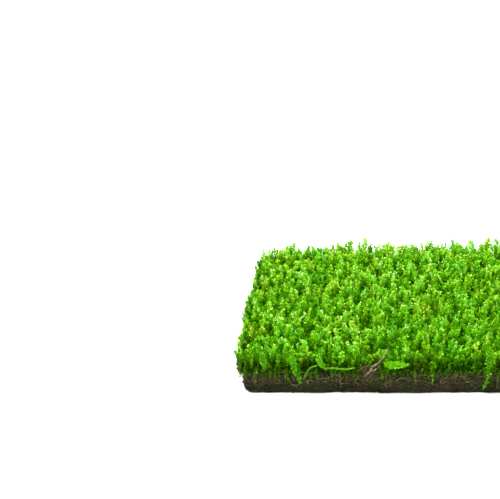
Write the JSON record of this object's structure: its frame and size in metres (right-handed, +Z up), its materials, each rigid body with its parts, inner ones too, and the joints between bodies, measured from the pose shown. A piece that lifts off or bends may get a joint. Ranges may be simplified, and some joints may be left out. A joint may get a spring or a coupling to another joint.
{
  "type": "moss clump",
  "caption": "Cut rectangular mat of living moss: dense green shoots on a thin felt of soil and old stems, with loose sprigs hanging over its front edge.",
  "frame": {"origin": "middle of the mat's flat cut underside, below the centre of its box", "axes": "+X along the mat's long side, to the right seen from its front; +Y from the front edge with the hanging sprigs to the back; +Z up out of the moss"},
  "size_m": [0.1816, 0.1502, 0.0269],
  "materials": {
    "soil": "matte",
    "moss": "satin",
    "sprig": "satin",
    "stem": "satin",
    "twig": "matte"
  },
  "bodies": {
    "root": {"soil_mat": "soil", "moss_turf": "moss", "corner_sprig": "sprig", "hanging_frond": "sprig", "bright_sprig": "sprig", "thick_sprig": "sprig", "drooping_sprig": "sprig", "arched_stem": "stem", "pale_stem": "stem", "dry_twig": "twig"}
  },
  "joints": []
}
